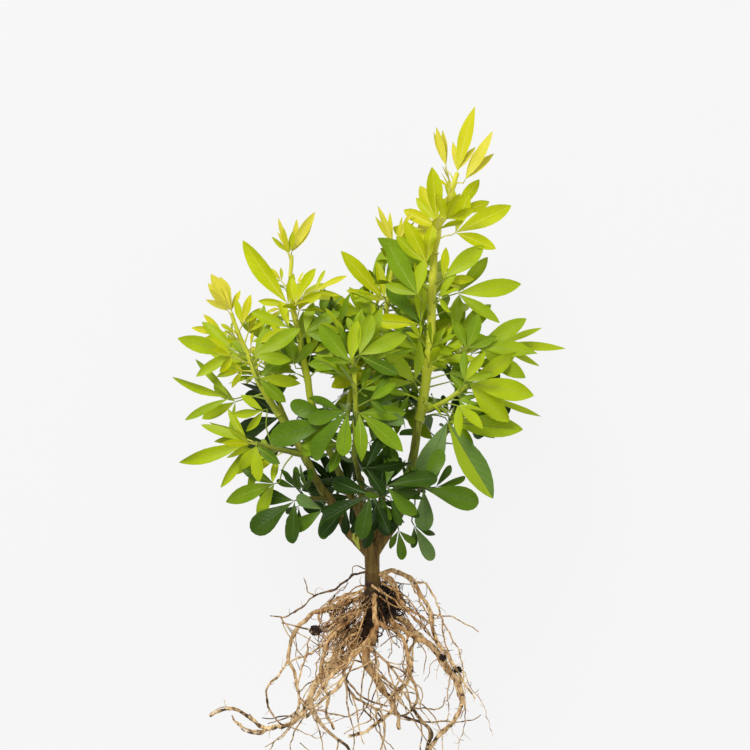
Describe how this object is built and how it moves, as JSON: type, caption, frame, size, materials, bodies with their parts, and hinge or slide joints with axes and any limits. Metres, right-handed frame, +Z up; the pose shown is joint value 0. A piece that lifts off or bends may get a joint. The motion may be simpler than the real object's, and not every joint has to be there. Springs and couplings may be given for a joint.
{
  "type": "mexican orange blossom shrub, bare-rooted",
  "caption": "Young evergreen shrub lying on its side with bare roots: short trunk, forked boughs and yellow-green leaves in threes.",
  "frame": {"origin": "on the surface that the plant lies on, under the middle of its box", "axes": "+Y along the plant from the roots to the tips, +Z up from the surface, +X to the right as seen from above"},
  "size_m": [0.3552, 0.5903, 0.2353],
  "materials": {
    "bark": "olive-brown young bark, matte, with faint ridges and pale pores",
    "root": "tan root skin, matte, stained dark with soil near the stock",
    "rootlet": "fine tan fibres, matte",
    "leaf_lime": "glossy lime-yellow young leaf with a pale midrib",
    "leaf_green": "glossy mid-green leaf with a pale midrib",
    "leaf_dark": "glossy dark green older leaf"
  },
  "bodies": {
    "root": {"trunk": "bark", "bough_left": "bark", "bough_centre": "bark", "bough_leader": "bark", "bough_back": "bark", "bough_front": "bark", "bough_back_left": "bark", "bough_back_right": "bark", "foliage_leader_low": "leaf_green", "foliage_leader_middle": "leaf_lime", "foliage_leader_top": "leaf_lime", "foliage_right_high": "leaf_green", "foliage_right_low": "leaf_green", "foliage_right_foot": "leaf_dark", "foliage_back_centre": "leaf_green", "foliage_centre_low": "leaf_green", "foliage_centre_high": "leaf_lime", "foliage_left_high": "leaf_lime", "foliage_left_low": "leaf_green", "foliage_left_foot": "leaf_dark", "foliage_front_middle": "leaf_green", "foliage_middle": "leaf_dark", "foliage_front_foot": "leaf_dark", "foliage_back_left_low": "leaf_dark", "foliage_back_left_high": "leaf_green", "foliage_back_right_low": "leaf_dark", "foliage_back_right_high": "leaf_green", "foliage_back_foot": "leaf_dark", "foliage_back_crown": "leaf_green", "root_left_long": "root", "root_centre": "root", "root_right": "root", "root_right_arch": "root", "root_left_hoop": "root", "root_left_thin": "root", "root_back_left": "root", "root_back_right": "root", "root_front": "root", "root_mid_left": "root", "root_mid_right": "root", "root_back_low": "root", "rootlets_left": "rootlet", "rootlets_left_low": "rootlet", "rootlets_far_left": "rootlet", "rootlets_centre": "rootlet", "rootlets_right": "rootlet", "rootlets_far_right": "rootlet", "rootlets_back": "rootlet", "rootlets_heart": "rootlet"}
  },
  "joints": []
}
